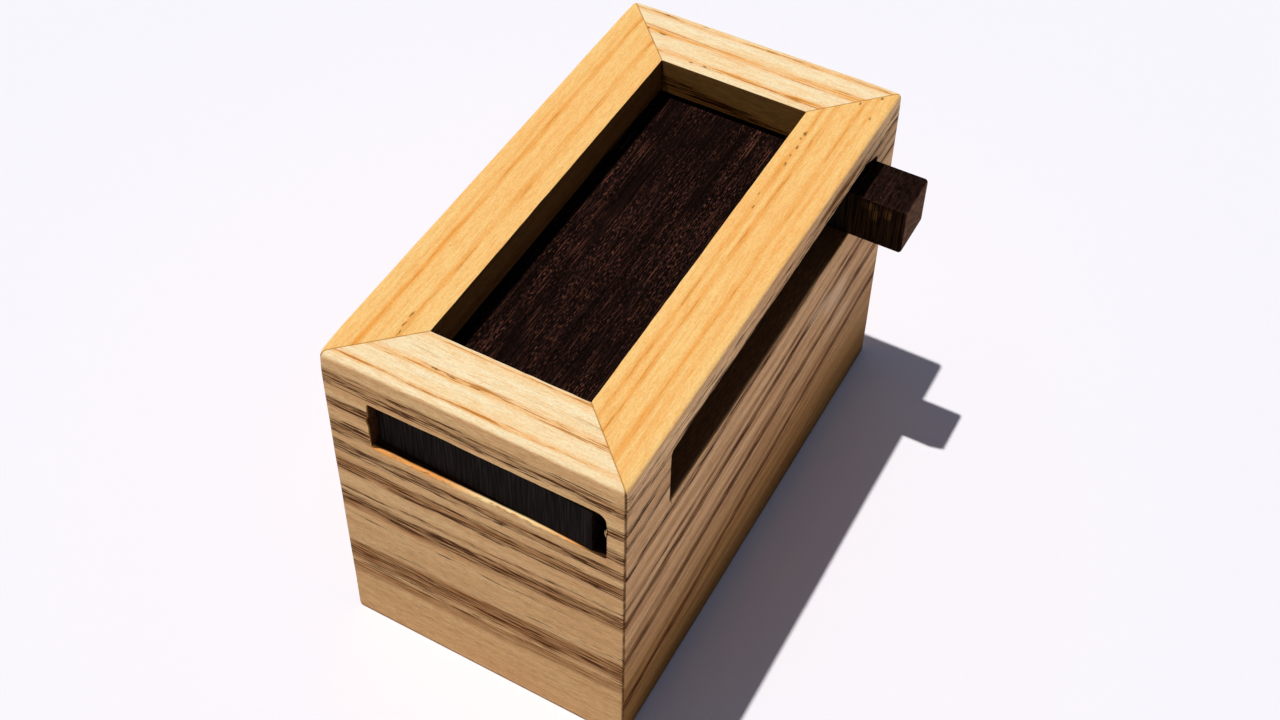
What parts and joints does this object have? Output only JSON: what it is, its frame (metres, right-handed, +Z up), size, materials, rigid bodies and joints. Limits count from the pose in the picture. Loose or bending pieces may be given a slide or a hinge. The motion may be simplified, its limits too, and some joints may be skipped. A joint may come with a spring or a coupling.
{
  "type": "sliding lid wooden box",
  "caption": "Small upright mitred ash box with a dark wenge lid under the rim, slid out through a slot in the front by a square lever that rides in a slot along the right side.",
  "frame": {"origin": "centre of the box's base, on the surface that it stands on, midway between the outer faces of the four walls", "axes": "+Z up; +X towards the side that the lever comes out of; -Y towards the end that the lid slides out of, +Y towards the back"},
  "size_m": [0.0491, 0.0768, 0.0524],
  "materials": {
    "ash": "oiled ash with brown heartwood bands, sanded",
    "wenge": "planed wenge, near black with fine brown lines",
    "beech": "plain turned beech dowel"
  },
  "bodies": {
    "box": {"front_wall": "ash", "back_wall": "ash", "left_wall": "ash", "right_wall": "ash", "bottom_panel": "ash"},
    "sliding_lid": {"lid": "wenge", "lever": "wenge", "lever_dowel": "beech"}
  },
  "joints": [
    {"name": "lid_slide", "type": "slide", "parent": "box", "child": "sliding_lid", "axis": [0, -1, 0], "range_m": [0, 0.0505]}
  ]
}
